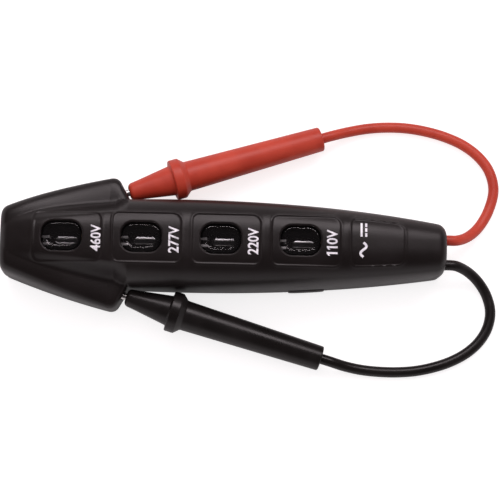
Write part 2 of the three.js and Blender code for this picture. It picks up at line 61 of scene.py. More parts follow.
# ---- camera ----
CAMERA_TARGET = Vector((7.73, -1.0, 11)) * MM
CAMERA_DISTANCE = 0.6
CAMERA_TILT = math.radians(11)
CAMERA_ROLL = math.radians(1.25)
CAMERA_LENS = 147.3


def linked(name, data):
    """A new object in the scene."""
    obj = bpy.data.objects.new(name, data)
    bpy.context.scene.collection.objects.link(obj)
    return obj


def add_camera():
    data = bpy.data.cameras.new("camera")
    data.lens = CAMERA_LENS
    data.sensor_width = 36
    data.clip_start = 0.01
    data.clip_end = 20
    right = Vector((1, 0, 0))
    up = Vector((0, math.cos(CAMERA_TILT), math.sin(CAMERA_TILT)))
    back = right.cross(up)
    across = right * math.cos(CAMERA_ROLL) + up * math.sin(CAMERA_ROLL)
    upright = up * math.cos(CAMERA_ROLL) - right * math.sin(CAMERA_ROLL)
    camera = linked("camera", data)
    camera.matrix_world = Matrix((across, upright, back)).transposed().to_4x4()
    camera.location = CAMERA_TARGET + back * CAMERA_DISTANCE
    bpy.context.scene.camera = camera


# ---- meshes ----
def put_mesh(name, vertices, faces, sharp=32):
    """A linked object with a closed mesh, from vertices in millimetres."""
    mesh = bpy.data.meshes.new(name)
    mesh.from_pydata((np.asarray(vertices, float) * MM).tolist(), [], [list(map(int, f)) for f in faces])
    obj = linked(name, mesh)
    tidy_mesh(obj, sharp)
    return obj


def tidy_mesh(obj, sharp=32, outward=True):
    """Merges doubles, turns the faces outwards and splits the shading at edges sharper than `sharp`."""
    work = bmesh.new()
    work.from_mesh(obj.data)
    bmesh.ops.remove_doubles(work, verts=work.verts, dist=1e-7)
    bmesh.ops.dissolve_degenerate(work, edges=work.edges, dist=1e-8)
    if outward:
        bmesh.ops.recalc_face_normals(work, faces=work.faces)
    work.to_mesh(obj.data)
    work.free()
    obj.data.shade_smooth()
    obj.data.set_sharp_from_angle(angle=math.radians(sharp))


def rings_to_faces(count, size, closed=False):
    """Quads between `count` rings of `size` points each; closed also joins the last ring to the first."""
    faces = []
    for i in range(count if closed else count - 1):
        a, b = i * size, ((i + 1) % count) * size
        for j in range(size):
            k = (j + 1) % size
            faces.append((a + j, b + j, b + k, a + k))
    return faces


def loft(name, rings, sharp=32):
    """A closed solid through rings of points, with a flat cap at each end."""
    rings = np.asarray(rings, float)
    count, size = rings.shape[:2]
    faces = rings_to_faces(count, size)
    faces.append(range(size))
    faces.append(range((count - 1) * size, count * size))
    return put_mesh(name, rings.reshape(-1, 3), faces, sharp)


def slab(name, xs, ys_of, top, bottom, sharp=32):
    """A solid between two surfaces: ys_of(x) gives the section's y stations."""
    rings = []
    for x in xs:
        ys = ys_of(x)
        over = np.column_stack([np.full_like(ys, x), ys, top(x, ys)])
        under = np.column_stack([np.full_like(ys, x), ys, bottom(x, ys)])
        rings.append(np.vstack([over, under[::-1]]))
    rings = np.array(rings)
    count, size = rings.shape[:2]
    faces = rings_to_faces(count, size)
    for base in (0, (count - 1) * size):
        for j in range(size // 2 - 1):
            faces.append((base + j, base + j + 1, base + size - 2 - j, base + size - 1 - j))
    return put_mesh(name, rings.reshape(-1, 3), faces, sharp)


def filleted(profile, radii, steps=5):
    """A profile of (radius, height) pairs with its inner corners rounded by arcs."""
    points = [Vector(p) for p in profile]
    out = [points[0]]
    for before, corner, after, radius in zip(points, points[1:], points[2:], radii):
        a, b = (before - corner).normalized(), (after - corner).normalized()
        half = math.acos(max(-1, min(1, a.dot(b)))) / 2
        if radius <= 0 or half > 1.5:
            out.append(corner)
            continue
        reach = radius / math.tan(half)
        centre = corner + (a + b).normalized() * radius / math.sin(half)
        start, end = corner + a * reach - centre, corner + b * reach - centre
        turn = math.atan2(start.x * end.y - start.y * end.x, start.dot(end))
        for i in range(steps + 1):
            c, s = math.cos(turn * i / steps), math.sin(turn * i / steps)
            out.append(centre + Vector((start.x * c - start.y * s, start.x * s + start.y * c)))
    out.append(points[-1])
    return [tuple(p) for p in out]


def axes_for(axis):
    """Two unit vectors square to an axis."""
    axis = Vector(axis).normalized()
    side = axis.cross(Vector((0, 0, 1)) if abs(axis.z) < 0.9 else Vector((1, 0, 0))).normalized()
    return side, axis.cross(side)


def lathe(name, profile, origin, axis, sides=96, closed=False, sharp=32):
    """A profile of (radius, height) pairs turned round an axis.
    A closed profile is a loop; the others end on the axis."""
    u, v = (np.array(w) for w in axes_for(axis))
    axis = np.array(Vector(axis).normalized())
    angles = np.linspace(0, 2 * math.pi, sides, endpoint=False)
    around = np.outer(np.cos(angles), u) + np.outer(np.sin(angles), v)
    rings = [np.array(origin) + axis * s + around * r for r, s in profile]
    return put_mesh(name, np.vstack(rings), rings_to_faces(len(profile), sides, closed), sharp)


def rounded_outline(length, width, corners, steps=8):
    """Points round a rectangle, anticlockwise from its lower right, with one radius for each corner."""
    a, b = length / 2, width / 2
    points = []
    for (sx, sy), radius, start in zip(((1, -1), (1, 1), (-1, 1), (-1, -1)), corners, (-90, 0, 90, 180)):
        for i in range(steps + 1):
            angle = math.radians(start + 90 * i / steps)
            x = sx * (a - radius) + radius * math.cos(angle)
            points.append((x, sy * (b - radius) + radius * math.sin(angle)))
    return np.array(points)


def apply_booleans(obj, cutters, operation="DIFFERENCE"):
    """Cuts or joins closed solids, and removes the ones that were used up."""
    for cutter in cutters:
        modifier = obj.modifiers.new("cut", "BOOLEAN")
        modifier.solver = "MANIFOLD"
        modifier.operation = operation
        modifier.object = cutter
    bake_modifiers(obj)
    for cutter in cutters:
        bpy.data.objects.remove(cutter)


def bake_modifiers(obj):
    graph = bpy.context.evaluated_depsgraph_get()
    mesh = bpy.data.meshes.new_from_object(obj.evaluated_get(graph))
    obj.modifiers.clear()
    obj.data = mesh


def box_mm(node):
    low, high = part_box(node)
    return np.array(low) / MM, np.array(high) / MM


# ---- leads ----
# The routes of the free leads on the bench, from the tail to the handles, in metres.
LEAD_ROUTES = {
    "red": [
        (.0685, .0038, .0076), (.072, .0054, .005), (.0756, .0088, .0028), (.0788, .0144, .00175),
        (.0803, .0208, .0016), (.079, .0264, .0016), (.0758, .0308, .0016), (.0712, .0343, .0016),
        (.0658, .0367, .0016), (.06, .0383, .0016), (.054, .0392, .0016), (.048, .0393, .00165),
        (.0422, .0387, .00195), (.0364, .0373, .0029),
    ],
    "black": [
        (.0685, -.0038, .0076), (.0722, -.005, .005), (.0756, -.0076, .0028), (.0782, -.0116, .00175),
        (.0793, -.0164, .0016), (.0784, -.0212, .0016), (.0759, -.0254, .0016), (.0722, -.0288, .0016),
        (.0676, -.0314, .0016), (.0626, -.0332, .0016), (.0573, -.0344, .0016), (.052, -.0349, .0016),
        (.0466, -.0349, .00165), (.0412, -.0345, .00205), (.0364, -.0337, .0031),
    ],
}
LEAD_DIAMETER = 0.0031
LEAD_SIDES = {"red": 1, "black": -1}
LEAD_EXIT_Y = 3.7
LEAD_EXIT_Z = 8
LEAD_INSIDE = 0.1  # the free lead starts this far inside the tail's face
HANDLE_MOUTH = 2.2


def spline(points, step=0.8):
    """Points a `step` apart along a centripetal Catmull-Rom curve."""
    points = np.asarray(points, float)
    ends = [2 * points[0] - points[1]], [2 * points[-1] - points[-2]]
    knots = np.vstack([ends[0], points, ends[1]])
    out = []
    for p0, p1, p2, p3 in zip(knots, knots[1:], knots[2:], knots[3:]):
        t0 = 0
        t1 = t0 + np.linalg.norm(p1 - p0) ** 0.5
        t2 = t1 + np.linalg.norm(p2 - p1) ** 0.5
        t3 = t2 + np.linalg.norm(p3 - p2) ** 0.5
        count = max(2, int(np.linalg.norm(p2 - p1) / step))
        for t in np.linspace(t1, t2, count, endpoint=False):
            a1 = ((t1 - t) * p0 + (t - t0) * p1) / (t1 - t0)
            a2 = ((t2 - t) * p1 + (t - t1) * p2) / (t2 - t1)
            a3 = ((t3 - t) * p2 + (t - t2) * p3) / (t3 - t2)
            b1 = ((t2 - t) * a1 + (t - t0) * a2) / (t2 - t0)
            b2 = ((t3 - t) * a2 + (t - t1) * a3) / (t3 - t1)
            out.append(((t2 - t) * b1 + (t - t1) * b2) / (t2 - t1))
    out.append(points[-1])
    return np.array(out)


def tube(name, path, radius, sides=24):
    """A round tube along a path, with caps; the radius is one number, or one for each point."""
    path = np.asarray(path, float)
    radii = np.broadcast_to(radius, len(path))
    tangents = np.gradient(path, axis=0)
    tangents /= np.linalg.norm(tangents, axis=1)[:, None]
    side = np.array(axes_for(tangents[0])[0])
    angles = np.linspace(0, 2 * math.pi, sides, endpoint=False)
    rings = []
    for point, tangent, radius in zip(path, tangents, radii):
        side = side - tangent * side.dot(tangent)
        side /= np.linalg.norm(side)
        other = np.cross(tangent, side)
        rings.append(point + radius * (np.outer(np.cos(angles), side) + np.outer(np.sin(angles), other)))
    return loft(name, rings, 50)


def probe_frame(name):
    """The nose's centre, the axis to the rear and the handle's length, all from the frame."""
    node = frame["nodes"][f"{name}_probe_handle"]
    points = np.unique(np.round([v.co for v in node.data.vertices], 7), axis=0) / MM
    joint = next(j for j in frame["joints"] if j["child"] == f"{name}_probe")
    axis = np.array(joint["axis"]) / np.linalg.norm(joint["axis"])
    along = points @ axis
    front = points[along < along.min() + 0.01]
    return front.mean(0), axis, along.max() - along.min()


def make_lead(name):
    nose, axis, length = probe_frame(name)
    side = LEAD_SIDES[name]
    tail = box_mm("front_shell")[1][0]
    exit_point = np.array([tail - LEAD_INSIDE, side * LEAD_EXIT_Y, LEAD_EXIT_Z])
    straight = exit_point + np.array([1.9, 0, 0])
    middle = np.array(LEAD_ROUTES[name]) / MM
    ends = [nose + axis * s for s in (length + 3, length, length - HANDLE_MOUTH)]
    path = spline(np.vstack([[exit_point, straight], middle, ends]))
    lead = tube(f"{name}_free_lead", path, LEAD_DIAMETER / MM / 2)
    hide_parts(f"{name}_lead")
    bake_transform(lead)
    return lead


add_camera()
leads = {name: make_lead(name) for name in LEAD_ROUTES}

# ---- the case's surfaces, in millimetres ----
SHELL_LOW, SHELL_HIGH = box_mm("front_shell")
FRONT, TAIL = SHELL_LOW[0], SHELL_HIGH[0]
CASE_HEIGHT = SHELL_HIGH[2]
CLEAR = 0.3
SEAM_Z = box_mm("rear_shell")[1][2] + CLEAR
SEAM_STEP = 0.3
SEAM_LAND = 0.4
SEAM_RELIEF = 0.36  # how far the front shell's edge is cut back along the seam
WALL = 2
NOSE_HALF = 9.2
HEAD_CURVE = (FRONT + 15, 15.4)
SHOULDER = (FRONT + 31.4, 19.5)
SHOULDER_ROUND = (SHOULDER[0] + 2.3, SHOULDER[1] + 0.4)
SHOULDER_BACK = (SHOULDER[0] + 3.2, SHOULDER[1] - 1.6)
NECK = (FRONT + 37.3, 13.0)
BODY_CURVE = (NECK[0] + 0.536 * (TAIL - NECK[0]), 14.5)
TAIL_HALF = 7.35
CROWN_POWER = 3
WING_POWER = 6
WING_HEIGHT = 14.5
WING_BLEND = 5.5  # over how much of the crown's width the wings run up into it
HEAD_DROP = 4
HEAD_DROP_X = FRONT + 20
TAIL_DROP = 4.5
TAIL_DROP_X = TAIL - 45
NOSE_CORNER = 1.6
TAIL_CORNER = 2.6
END_ROUND = 2.2
BACK_ROUND = 0.36
BACK_POWER = 3.8

WINDOWS = [box_mm(f"window_lens_{i}") for i in (1, 2, 3, 4)]
WINDOW_X = [(low[0] + high[0]) / 2 for low, high in WINDOWS]
WINDOW = (11.8, 8.8, 3.6)
RIM_ROUND = 0.55
PANEL = {"length": 19.8, "width": 14.4, "offset": 1.65, "corner": 1.8, "cut_corner": 2.7}
LAST_PANEL = {"x": TAIL - 20.4, "length": 15.6, "width": 13}
PANEL_DEPTH = 0.22
PANEL_LIP = 0.17
LIP_WIDTH = 0.36
PANEL_EDGE = 0.25  # half the width of the step down into a panel


def bezier_at(start, control, end, x):
    a = start[0] - 2 * control[0] + end[0]
    b = 2 * (control[0] - start[0])
    c = start[0] - x
    t = -c / b if abs(a) < 1e-9 else (-b + np.sqrt(np.maximum(0, b * b - 4 * a * c))) / (2 * a)
    return (1 - t) ** 2 * start[1] + 2 * t * (1 - t) * control[1] + t * t * end[1]


def rounding(distance, radius):
    d = np.clip(distance, 0, radius)
    return radius - np.sqrt(np.maximum(0, radius**2 - (radius - d) ** 2))


def body_half(x):
    if x > NECK[0]:
        return bezier_at(NECK, BODY_CURVE, (TAIL, TAIL_HALF), x)
    return NECK[1] + (NECK[0] - x) / (NECK[0] - FRONT) * (NOSE_HALF - 0.4 - NECK[1])


def outline_half(x):
    if x <= SHOULDER[0]:
        return bezier_at((FRONT, NOSE_HALF), HEAD_CURVE, SHOULDER, x)
    if x <= SHOULDER_BACK[0]:
        return bezier_at(SHOULDER, SHOULDER_ROUND, SHOULDER_BACK, x)
    if x <= NECK[0]:
        share = (x - SHOULDER_BACK[0]) / (NECK[0] - SHOULDER_BACK[0])
        return SHOULDER_BACK[1] + share * (NECK[1] - SHOULDER_BACK[1])
    return body_half(x)


def half_width(x, inset=0.0):
    corners = rounding(x - FRONT - inset, NOSE_CORNER) + rounding(TAIL - inset - x, TAIL_CORNER)
    return outline_half(x) - corners - inset


def crown_height(x, inset=0.0):
    head = max(0, (HEAD_DROP_X - x) / (HEAD_DROP_X - FRONT))
    tail = max(0, (x - TAIL_DROP_X) / (TAIL - TAIL_DROP_X))
    ends = rounding(x - FRONT - inset, END_ROUND) + rounding(TAIL - inset - x, END_ROUND)
    return CASE_HEIGHT - HEAD_DROP * head**2 - TAIL_DROP * tail**2 - ends - inset


def bulge(share, power):
    return np.maximum(0, 1 - np.clip(share, 0, 1) ** power) ** (1 / power)


def smooth(share):
    share = np.clip(share, 0, 1)
    return share * share * (3 - 2 * share)


def top_height(x, y, inset=0.0):
    foot = SEAM_Z + SEAM_LAND
    width = half_width(x, inset)
    crown = crown_height(x, inset)
    crown_half = min(width, body_half(x) - inset)
    body = foot + (crown - foot) * bulge(np.abs(y) / crown_half, CROWN_POWER)
    if x > NECK[0]:
        return body
    spread = min(1, (x - FRONT) / (SHOULDER[0] - FRONT))
    wing_top = min(crown, crown + spread * (WING_HEIGHT - inset - crown))
    wing = foot + (wing_top - foot) * bulge(np.abs(y) / width, WING_POWER)
    reach = (np.abs(y) - crown_half) / WING_BLEND + 1
    share = smooth(reach) * min(1, (NECK[0] - x) / 4)
    highest = np.maximum(body, wing)
    return highest + (wing - highest) * share


def back_height(x, y, inset=0.0):
    width = half_width(x, inset + SEAM_STEP)
    flat = width * (1 - BACK_ROUND)
    height = SEAM_Z - CLEAR - SEAM_LAND - inset
    share = np.maximum(0, (np.abs(y) - flat) / (width - flat))
    return inset + height * (1 - bulge(share, BACK_POWER))


def panel_distance(x, y, centre, length, width, follow=False):
    """How far a point lies outside a panel's outline; below zero inside it."""
    if follow:
        y = y * half_width(centre) / half_width(x)
    radius = np.where((x > centre) & (y > 0), PANEL["cut_corner"], PANEL["corner"])
    dx = np.abs(x - centre) - length / 2 + radius
    dy = np.abs(y) - width / 2 + radius
    return np.hypot(np.maximum(dx, 0), np.maximum(dy, 0)) + np.minimum(np.maximum(dx, dy), 0) - radius


def deck_height(x, y):
    """The front shell's outer surface with its panels sunk in behind a low lip."""
    distances = [
        panel_distance(x, y, wx + PANEL["offset"], PANEL["length"], PANEL["width"]) for wx in WINDOW_X
    ]
    last = panel_distance(x, y, LAST_PANEL["x"], LAST_PANEL["length"], LAST_PANEL["width"], True)
    nearest = np.minimum.reduce([*distances, last])
    step = np.clip(0.5 - nearest / (2 * PANEL_EDGE), 0, 1)
    lip = PANEL_LIP * np.exp(-((nearest - PANEL_EDGE) / LIP_WIDTH) ** 2)
    return top_height(x, y) + lip - PANEL_DEPTH * smooth(step)


def end_stations(radius, inset=0.0, steps=9):
    """Distances from an end, close together where it rounds over."""
    return [inset + radius * (1 - math.cos(math.pi / 2 * i / steps)) for i in range(steps)]


def case_stations(step, inset=0.0):
    near = end_stations(TAIL_CORNER, inset, 9 if step < 1 else 4)
    reach = inset + TAIL_CORNER
    middle = np.arange(FRONT + reach, TAIL - reach, step)
    if step < 0.5:
        middle = np.union1d(middle, np.arange(SHOULDER[0] - 1, NECK[0] + 1, step / 2))
    return np.array([FRONT + d for d in near] + list(middle) + [TAIL - d for d in reversed(near)])


def deck_stations(x):
    """Y stations across the front shell: even over the deck, and closing up towards the sides."""
    half = half_width(x)
    deck = min(8.0, 0.87 * half)
    inner = np.linspace(-deck, deck, 67)
    outer = deck + (half - deck) * np.sin(np.linspace(0, math.pi / 2, 25))[1:]
    return np.concatenate([-outer[::-1], inner, outer])


def even_stations(count, inset, offset=0.0):
    angles = np.linspace(-math.pi / 2, math.pi / 2, count)
    return lambda x: half_width(x, inset + offset) * np.sin(angles)


def level(height):
    return lambda x, ys: np.full_like(ys, height)


# ---- the two shells ----
PARK_YAW = math.radians(17)
PARK_RADIUS = 1.5
LEAD_HOLE = 1.85
LEAD_HOLE_REACH = 5
LUG = {"x": TAIL - 40.5, "length": 11, "proud": 0.6, "low": 3.7, "high": 7.3}


def rod(radius, start, end, sides=32):
    axis = np.array(end, float) - np.array(start, float)
    length = np.linalg.norm(axis)
    return lathe("rod", [(0, 0), (radius, 0), (radius, length), (0, length)], start, axis, sides)


def park_hole(name):
    nose, axis, _ = probe_frame(name)
    droop = math.asin(-axis[2])
    side = LEAD_SIDES[name]
    flat = math.cos(droop)
    along = np.array([math.cos(PARK_YAW) * flat, side * math.sin(PARK_YAW) * flat, -math.sin(droop)])
    return rod(PARK_RADIUS, nose - 8 * along, nose + 8 * along)


def lead_hole(side):
    y, z = side * LEAD_EXIT_Y, LEAD_EXIT_Z
    return rod(LEAD_HOLE, (TAIL - LEAD_HOLE_REACH, y, z), (TAIL + LEAD_HOLE_REACH, y, z), 48)


def lead_holes():
    """The probes' parking holes and the leads' ways out of the tail."""
    return [park_hole(name) for name in LEAD_ROUTES] + [lead_hole(side) for side in (1, -1)]


def window_cutter(centre):
    """A rounded well whose rim is rounded over, following the deck."""
    length, width, corner = WINDOW
    outline = rounded_outline(length, width, [corner] * 4, 12)
    edge = np.roll(outline, -1, 0) - np.roll(outline, 1, 0)
    normals = np.column_stack([edge[:, 1], -edge[:, 0]]) / np.linalg.norm(edge, axis=1)[:, None]

    def ring(out, height):
        spread = outline + normals * out
        return [(centre + px, py, height(centre + px, py)) for px, py in spread]

    rings = [ring(0, lambda x, y: SEAM_Z + 2)]
    for i in range(8):
        angle = math.pi / 2 * i / 7
        depth = RIM_ROUND * (1 - math.sin(angle))
        out = RIM_ROUND * (1 - math.cos(angle))
        rings.append(ring(out, lambda x, y, d=depth: float(deck_height(x, y)) - d))
    rings.append(ring(RIM_ROUND, lambda x, y: CASE_HEIGHT + 2))
    return loft("window_cutter", rings)


def make_front_shell():
    shell = slab(
        "front_cover", case_stations(0.3), deck_stations,
        deck_height, level(SEAM_Z + SEAM_RELIEF), 40,
    )
    inner = slab(
        "inner", case_stations(2, WALL), even_stations(41, WALL),
        lambda x, ys: top_height(x, ys, WALL), level(SEAM_Z - 1),
    )
    holes = [window_cutter(x) for x in WINDOW_X]
    holes += lead_holes()
    apply_booleans(shell, [inner, *holes])
    tidy_mesh(shell, 50, outward=False)
    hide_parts("front_shell")
    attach(shell, "case")
    return shell


def lug(side):
    """A low finger lug on the rear shell's side, running out softly at both ends."""
    rings = []
    for share in np.linspace(-1, 1, 33):
        x = LUG["x"] + share * LUG["length"] / 2
        edge = half_width(x) - SEAM_STEP
        proud = LUG["proud"] * bulge(abs(share), 5) - 0.05
        middle, half = (LUG["low"] + LUG["high"]) / 2, (LUG["high"] - LUG["low"]) / 2
        ring = [(x, side * (edge - 2), middle - half), (x, side * (edge - 2), middle + half)]
        for angle in np.linspace(math.pi / 2, -math.pi / 2, 13):
            y = edge + proud - 0.8 + 0.8 * bulge(abs(math.sin(angle)), 3)
            ring.append((x, side * y, middle + half * math.sin(angle)))
        rings.append(ring)
    return loft("lug", rings)


# radii of the rear shell's bosses and screw holes, and how far up the wide part of a hole goes
CASE_BOSS, BOARD_BOSS = 2.9, 2.7
SCREW_HOLE, SCREW_SEAT = 1.5, 2.5
SCREW_SEAT_TOP = 3.1


def middle_x(node):
    """The middle of a node's box along the case."""
    low, high = box_mm(node)
    return (low[0] + high[0]) / 2


def make_rear_shell():
    rim = SEAM_Z - CLEAR
    shell = slab(
        "rear_cover", case_stations(0.6, SEAM_STEP), even_stations(91, 0, SEAM_STEP),
        level(rim), back_height, 40,
    )
    inner = slab(
        "inner", case_stations(2, SEAM_STEP + WALL), even_stations(41, WALL, SEAM_STEP),
        level(rim + 1), lambda x, ys: back_height(x, ys, WALL),
    )
    apply_booleans(shell, [lug(1), lug(-1)], "UNION")
    apply_booleans(shell, [inner])
    board_under = box_mm("circuit_board")[0][2]
    bosses = []
    for i in (1, 2):
        x = middle_x(f"case_screw_{i}")
        bosses.append(rod(CASE_BOSS, (x, 0, WALL / 2), (x, 0, rim - CLEAR), 48))
    for i in (1, 2):
        x = middle_x(f"board_screw_{i}")
        bosses.append(rod(BOARD_BOSS, (x, 0, WALL / 2), (x, 0, board_under - CLEAR), 48))
    apply_booleans(shell, bosses, "UNION")
    holes = lead_holes()
    for i in (1, 2):
        x = middle_x(f"case_screw_{i}")
        holes.append(rod(SCREW_HOLE, (x, 0, -1), (x, 0, rim + 1)))
        holes.append(rod(SCREW_SEAT, (x, 0, -1), (x, 0, SCREW_SEAT_TOP), 48))
    apply_booleans(shell, holes)
    tidy_mesh(shell, 50, outward=False)
    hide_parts("rear_shell")
    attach(shell, "case")
    return shell


# ---- windows, lamps and what is inside ----
def make_lens(index):
    """A clear pane with a rounded edge, on the flange that holds it under the deck."""
    node = f"window_lens_{index}"
    low, high = WINDOWS[index - 1]
    centre = (low[0] + high[0]) / 2
    flange_top = low[2] + 1
    length, width, corner = WINDOW
    flange = rounded_outline(high[0] - low[0], high[1] - low[1], [corner] * 4)
    pane = rounded_outline(length - 2 * CLEAR, width - 2 * CLEAR, [corner - CLEAR] * 4)

    def ring(outline, z, shrink=0.0):
        along, across = 1 - shrink / outline.max(0)
        return [(centre + px * along, py * across, z) for px, py in outline]

    rings = [ring(flange, low[2]), ring(flange, flange_top), ring(pane, flange_top)]
    for i in range(7):
        angle = math.pi / 2 * i / 6
        rings.append(ring(pane, high[2] - 0.5 * (1 - math.sin(angle)), 0.5 * (1 - math.cos(angle))))
    rings.append(ring(pane, high[2], 0.9))
    for i in range(5):
        share = i / 4
        rings.append(ring(pane, high[2] - 0.18 * float(smooth(share)), 1.0 + 0.5 * share))
    lens = loft(f"window_{index}", rings)
    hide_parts(node)
    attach(lens, "case")
    return lens


def make_lamp(index):
    """A glass bulb along X, its lead end squeezed flat as a pinch."""
    node = f"neon_lamp_{index}"
    low, high = box_mm(node)
    radius = (high[2] - low[2]) / 2
    length = high[0] - low[0]
    glass = 0.45
    bore = radius - glass
    dome = length - radius
    turn = np.linspace(0, 1.57, 10)
    outer = [(radius * math.cos(a), dome + radius * math.sin(a)) for a in turn]
    inner = [(bore * math.cos(a), dome + bore * math.sin(a)) for a in np.linspace(1.57, 0, 10)]
    outer[-1], inner[0] = (0, length), (0, length - glass)
    sides = [(radius, s) for s in np.linspace(0, dome, 10)[:-1]]
    walls = [(bore, s) for s in np.linspace(dome, 0, 10)[1:]]
    profile = sides + outer + inner + walls
    centre = (low + high) / 2
    lamp = lathe(f"lamp_{index}", profile, (low[0], centre[1], centre[2]), (1, 0, 0), 48, closed=True)
    for vertex in lamp.data.vertices:
        share = min(1, (vertex.co.x / MM - low[0]) / 2.6)
        squeeze = 0.3 + 0.7 * math.sin(share * math.pi / 2)
        vertex.co.z = centre[2] * MM + (vertex.co.z - centre[2] * MM) * squeeze
    tidy_mesh(lamp, 50)
    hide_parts(node)
    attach(lamp, "case")
    return lamp


WIRE_RADIUS = 0.4


def make_electrode(index, letter):
    """A pale wire up from the board, its whiteness partly painted sheen, with a rod inside the lamp:
    broader on the electrode on the +Y side, narrower on the other.
    """
    node = f"electrode_{index}_{letter}"
    low, high = box_mm(node)
    wire = WIRE_RADIUS
    broad = 0.62 if low[1] + high[1] > 0 else 0.3
    x, y, z = low[0] + wire, (low[1] + high[1]) / 2, high[2] - wire
    rise = [(x, y, low[2]), (x, y, z - 0.6), (x + 0.2, y, z - 0.2), (x + 0.6, y, z)]
    rod_start = x + 2.6
    path = spline([*rise, (rod_start, y, z), (high[0] + 1.1, y, z)], 0.3)
    widths = np.interp(path[:, 0], [rod_start - 0.3, rod_start + 0.3], [wire, broad])
    electrode = tube(f"wire_{index}_{letter}", path, widths, 16)
    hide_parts(node)
    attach(electrode, "case")
    return electrode


# ---- probes ----
TIP_RADIUS = 1
TIP_OUT = 12  # bare pin ahead of the nose
TIP_HELD = 11.9  # and how far it goes into the handle
FLANGE = {"radius": 6.0, "start": 13.3, "length": 2.8, "chamfer": 1.7}
HANDLE_FRONT, HANDLE_REAR = 4.45, 3.65
NOSE_BASE, NOSE_FRONT = 4.5, 2.2
LEAD_BORE, TIP_BORE = 2.15, 1.06
BORE_DEPTH = 12


def make_handle(name):
    nose, axis, length = probe_frame(name)
    start, radius = FLANGE["start"], FLANGE["radius"]
    flange_end = start + FLANGE["length"]
    corners = [
        ((1.3, BORE_DEPTH), 0), ((TIP_BORE, 0), 0.05),
        ((NOSE_FRONT + 0.3, 0), 1.35), ((NOSE_FRONT + 0.75, 3.4), 8),
        ((NOSE_BASE, start), 0.5), ((radius, start), 0.45), ((radius, flange_end), 0.5),
        ((HANDLE_FRONT, flange_end + FLANGE["chamfer"]), 0.9), ((HANDLE_REAR, length), 0.5),
        ((LEAD_BORE, length), 0.25), ((LEAD_BORE, length - BORE_DEPTH), 0),
    ]
    points = [p for p, _ in corners]
    profile = filleted(points, [r for _, r in corners[1:-1]], 6)
    profile = [(0, BORE_DEPTH), *profile, (0, length - BORE_DEPTH)]
    handle = lathe(f"{name}_grip", profile, nose, axis, 96)
    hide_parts(f"{name}_probe_handle")
    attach(handle, f"{name}_probe")
    return handle


def make_tip(name):
    nose, axis, _ = probe_frame(name)
    profile = [
        (0, -TIP_OUT), (0.35, -TIP_OUT + 0.05), (TIP_RADIUS, -TIP_OUT + 1.4),
        (TIP_RADIUS, TIP_HELD), (0, TIP_HELD),
    ]
    profile = filleted(profile, [0.3, 0.8, 0], 5)
    tip = lathe(f"{name}_pin", profile, nose, axis, 40)
    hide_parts(f"{name}_probe_tip")
    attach(tip, f"{name}_probe")
    return tip


# ---- legends, standing on the panels' floors ----
LEGENDS = ("460V", "277V", "220V", "110V")
LEGEND_HEIGHT = 3.15
LEGEND_LENGTH = 7.8
LEGEND_OFFSET = 9.35
LEGEND_SHIFTS = (0.6, 0.05, -0.05, -0.3)  # the printing is a little out of step with the windows
INK = 0.03


def lay_on_panel(name, flat, centre_x, centre_y):
    """Turns flat lettering to read from the black lead's side to the red one's,
    and lays it on the panel's floor as a thin raised sheet."""
    flat.transform(Matrix(((0, -1, 0, centre_x), (1, 0, 0, centre_y), (0, 0, 1, 0), (0, 0, 0, 1))))
    work = bmesh.new()
    work.from_mesh(flat)
    for y in np.arange(centre_y - 8, centre_y + 8, 0.7):
        geometry = work.verts[:] + work.edges[:] + work.faces[:]
        bmesh.ops.bisect_plane(work, geom=geometry, plane_co=(0, y, 0), plane_no=(0, 1, 0))
    bmesh.ops.remove_doubles(work, verts=work.verts, dist=0.01)
    bmesh.ops.dissolve_degenerate(work, edges=work.edges, dist=0.005)
    bmesh.ops.triangulate(work, faces=work.faces)
    top = bmesh.ops.extrude_face_region(work, geom=work.faces[:])
    raised = {v for v in top["geom"] if isinstance(v, bmesh.types.BMVert)}
    for vertex in work.verts:
        floor = float(top_height(vertex.co.x, vertex.co.y)) - PANEL_DEPTH
        vertex.co.z = floor + (INK if vertex in raised else -0.1)
    bmesh.ops.scale(work, vec=(MM, MM, MM), verts=work.verts)
    bmesh.ops.recalc_face_normals(work, faces=work.faces)
    mesh = bpy.data.meshes.new(name)
    work.to_mesh(mesh)
    work.free()
    obj = linked(name, mesh)
    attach(obj, "case")
    return obj


def lettering(text, left, right):
    """Flat lettering between two places along its line, LEGEND_HEIGHT tall and centred on it."""
    curve = bpy.data.curves.new("lettering", "FONT")
    curve.body = text
    curve.resolution_u = 4
    curve.offset = 0.022
    holder = linked("lettering", curve)
    flat = bpy.data.meshes.new_from_object(holder.evaluated_get(bpy.context.evaluated_depsgraph_get()))
    bpy.data.objects.remove(holder)
    points = np.array([v.co for v in flat.vertices])
    low, high = points.min(0), points.max(0)
    size, middle = high - low, (low + high) / 2
    scale = Matrix.Diagonal(((right - left) / size[0], LEGEND_HEIGHT / size[1], 0, 1))
    flat.transform(scale @ Matrix.Translation(-Vector(middle)))
    flat.transform(Matrix.Translation(((left + right) / 2, 0, 0)))
    return flat


def add_ones(flat, places):
    """Adds a flagged figure one at each place."""
    half = LEGEND_HEIGHT / 2
    shape = [
        (-0.05, -half), (0.5, -half), (0.5, half), (0.08, half),
        (-0.55, half - 0.5), (-0.55, half - 1), (-0.05, half - 0.7),
    ]
    work = bmesh.new()
    work.from_mesh(flat)
    for place in places:
        work.faces.new([work.verts.new((place + px, py, 0)) for px, py in shape])
    work.to_mesh(flat)
    work.free()


def make_legend(index):
    text = LEGENDS[index - 1]
    ones = len(text) - len(text.lstrip("1"))
    start = -LEGEND_LENGTH / 2
    flat = lettering(text.lstrip("1"), start + 1.75 * ones, -start)
    add_ones(flat, [start + 0.75 + 1.7 * i for i in range(ones)])
    centre = WINDOW_X[index - 1] + LEGEND_OFFSET + LEGEND_SHIFTS[index - 1]
    return lay_on_panel(f"legend_{index}", flat, centre, -0.65)


